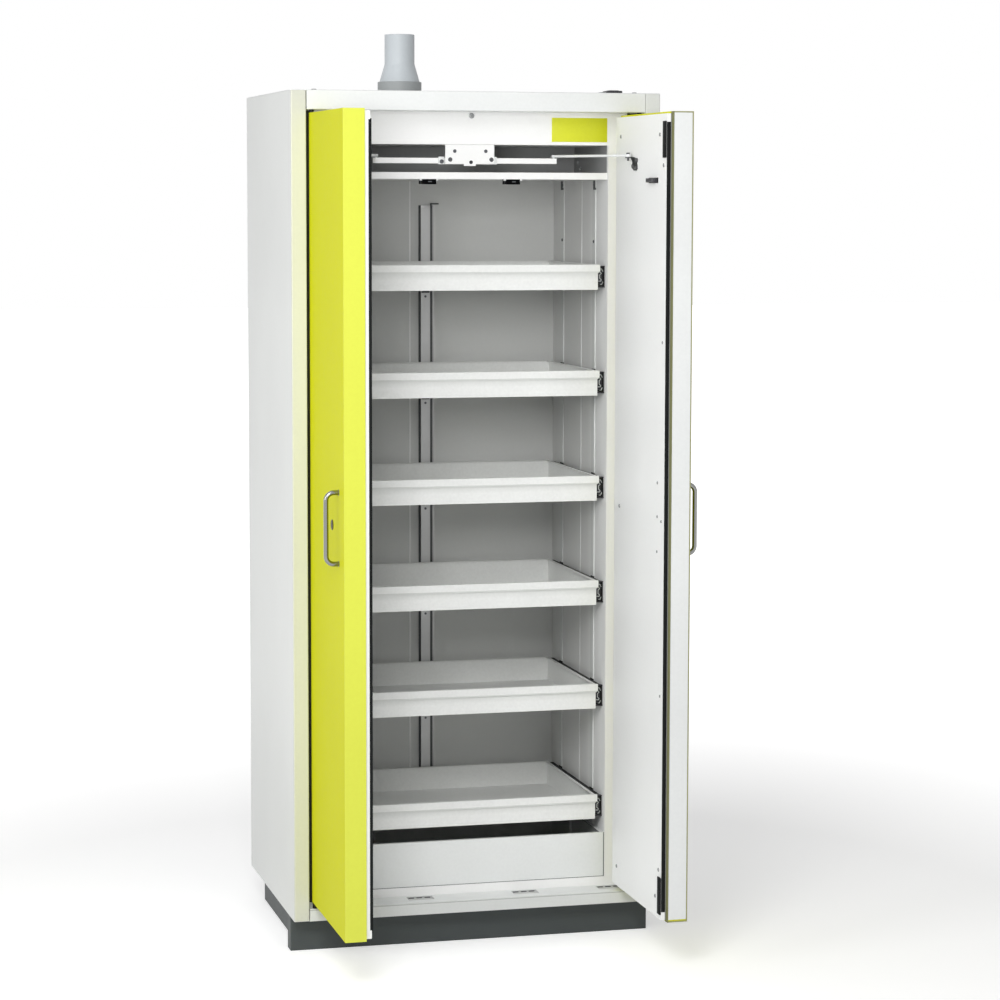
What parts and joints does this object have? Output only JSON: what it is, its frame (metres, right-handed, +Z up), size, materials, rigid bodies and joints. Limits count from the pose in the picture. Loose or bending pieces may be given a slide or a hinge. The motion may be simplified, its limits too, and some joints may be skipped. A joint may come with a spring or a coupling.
{
  "type": "fireproof safety cabinet",
  "caption": "Tall fire-resisting storage cabinet with two wing doors standing open, pull-out drawers on telescopic slides, a bottom sump tray, a door closer and an exhaust socket on the roof.",
  "frame": {"origin": "on the floor under the middle of the cabinet with its doors open", "axes": "+X to the viewer's right, +Y to the rear, +Z up; the doors stand open towards -Y"},
  "size_m": [0.896, 1.006, 2.208],
  "materials": {
    "white_steel": "semi-gloss powder coat",
    "board": "matt, white faced fire-resisting board",
    "yellow_steel": "semi-gloss powder coat",
    "plinth_steel": "matt powder coat",
    "vent_plastic": "plain grey polypropylene",
    "black_plastic": "satin",
    "seal": "matt",
    "chrome": "polished",
    "duct_metal": "zinc plated",
    "dark_steel": "satin black",
    "drawer_steel": "semi-gloss powder coat"
  },
  "bodies": {
    "cabinet": {"side_panel_left": "white_steel", "side_panel_right": "white_steel", "side_board_left": "board", "side_board_right": "board", "slide_rack_left": "dark_steel", "slide_rack_right": "dark_steel", "roof_panel": "white_steel", "rear_panel": "white_steel", "floor_panel": "white_steel", "sill_panel": "white_steel", "front_frame": "white_steel", "roof_board": "board", "floor_board": "board", "rear_board": "board", "base_frame": "plinth_steel", "plinth_panel": "plinth_steel", "vent_socket": "vent_plastic", "vent_reducer": "vent_plastic", "roof_cap": "black_plastic", "ceiling_cover": "white_steel", "air_duct": "duct_metal", "sump_tray": "white_steel", "closer_plate": "white_steel", "closer_rail": "white_steel", "hinge_rod_left": "dark_steel", "hinge_rod_right": "dark_steel"},
    "door_left": {"door_skin_left": "yellow_steel", "door_liner_left": "board", "edge_seal_left": "seal", "handle_left": "chrome", "door_catch_left": "black_plastic", "arm_bracket_left": "duct_metal"},
    "door_right": {"door_skin_right": "yellow_steel", "door_liner_right": "board", "edge_seal_right": "seal", "edge_strip_right": "white_steel", "handle_right": "chrome", "door_catch_right": "black_plastic", "arm_bracket_right": "duct_metal"},
    "arm_left": {"closer_arm_left": "white_steel"},
    "arm_right": {"closer_arm_right": "white_steel"},
    "lock": {"lock_cylinder": "chrome"},
    "drawer_1": {"drawer_1": "drawer_steel"},
    "slides_1": {"slide_1_left": "dark_steel", "slide_1_right": "dark_steel"},
    "drawer_2": {"drawer_2": "drawer_steel"},
    "slides_2": {"slide_2_left": "dark_steel", "slide_2_right": "dark_steel"},
    "drawer_3": {"drawer_3": "drawer_steel"},
    "slides_3": {"slide_3_left": "dark_steel", "slide_3_right": "dark_steel"},
    "drawer_4": {"drawer_4": "drawer_steel"},
    "slides_4": {"slide_4_left": "dark_steel", "slide_4_right": "dark_steel"},
    "drawer_5": {"drawer_5": "drawer_steel"},
    "slides_5": {"slide_5_left": "dark_steel", "slide_5_right": "dark_steel"},
    "drawer_6": {"drawer_6": "drawer_steel"},
    "slides_6": {"slide_6_left": "dark_steel", "slide_6_right": "dark_steel"}
  },
  "joints": [
    {"name": "door_left_swing", "type": "hinge", "parent": "cabinet", "child": "door_left", "pos_m": [-0.398, -0.107, 1.06], "axis": [0, 0, -1], "range_deg": [-90, 0]},
    {"name": "door_right_swing", "type": "hinge", "parent": "cabinet", "child": "door_right", "pos_m": [0.398, -0.107, 1.06], "axis": [0, 0, 1], "range_deg": [-90, 0]},
    {"name": "arm_left_turn", "type": "hinge", "parent": "door_left", "child": "arm_left", "pos_m": [-0.33, -0.2386, 1.9011], "axis": [0, 0, -1], "range_deg": [0, 152.2]},
    {"name": "arm_right_turn", "type": "hinge", "parent": "door_right", "child": "arm_right", "pos_m": [0.33, -0.2386, 1.9011], "axis": [0, 0, 1], "range_deg": [0, 147.7]},
    {"name": "lock_turn", "type": "hinge", "parent": "door_left", "child": "lock", "pos_m": [-0.404, -0.37, 1.06425], "axis": [1, 0, 0], "range_deg": [0, 90]},
    {"name": "drawer_1_slide", "type": "slide", "parent": "cabinet", "child": "drawer_1", "axis": [0, -1, 0], "range_m": [0, 0.4]},
    {"name": "slides_1_follow", "type": "slide", "parent": "cabinet", "child": "slides_1", "axis": [0, -1, 0], "range_m": [0, 0.2]},
    {"name": "drawer_2_slide", "type": "slide", "parent": "cabinet", "child": "drawer_2", "axis": [0, -1, 0], "range_m": [0, 0.4]},
    {"name": "slides_2_follow", "type": "slide", "parent": "cabinet", "child": "slides_2", "axis": [0, -1, 0], "range_m": [0, 0.2]},
    {"name": "drawer_3_slide", "type": "slide", "parent": "cabinet", "child": "drawer_3", "axis": [0, -1, 0], "range_m": [0, 0.4]},
    {"name": "slides_3_follow", "type": "slide", "parent": "cabinet", "child": "slides_3", "axis": [0, -1, 0], "range_m": [0, 0.2]},
    {"name": "drawer_4_slide", "type": "slide", "parent": "cabinet", "child": "drawer_4", "axis": [0, -1, 0], "range_m": [0, 0.4]},
    {"name": "slides_4_follow", "type": "slide", "parent": "cabinet", "child": "slides_4", "axis": [0, -1, 0], "range_m": [0, 0.2]},
    {"name": "drawer_5_slide", "type": "slide", "parent": "cabinet", "child": "drawer_5", "axis": [0, -1, 0], "range_m": [0, 0.4]},
    {"name": "slides_5_follow", "type": "slide", "parent": "cabinet", "child": "slides_5", "axis": [0, -1, 0], "range_m": [0, 0.2]},
    {"name": "drawer_6_slide", "type": "slide", "parent": "cabinet", "child": "drawer_6", "axis": [0, -1, 0], "range_m": [0, 0.4]},
    {"name": "slides_6_follow", "type": "slide", "parent": "cabinet", "child": "slides_6", "axis": [0, -1, 0], "range_m": [0, 0.2]}
  ],
  "couplings": [
    {"joint": "arm_left_turn", "follows": "door_left_swing", "ratio": -1.69},
    {"joint": "arm_right_turn", "follows": "door_right_swing", "ratio": -1.64},
    {"joint": "slides_1_follow", "follows": "drawer_1_slide", "ratio": 0.5},
    {"joint": "slides_2_follow", "follows": "drawer_2_slide", "ratio": 0.5},
    {"joint": "slides_3_follow", "follows": "drawer_3_slide", "ratio": 0.5},
    {"joint": "slides_4_follow", "follows": "drawer_4_slide", "ratio": 0.5},
    {"joint": "slides_5_follow", "follows": "drawer_5_slide", "ratio": 0.5},
    {"joint": "slides_6_follow", "follows": "drawer_6_slide", "ratio": 0.5}
  ]
}
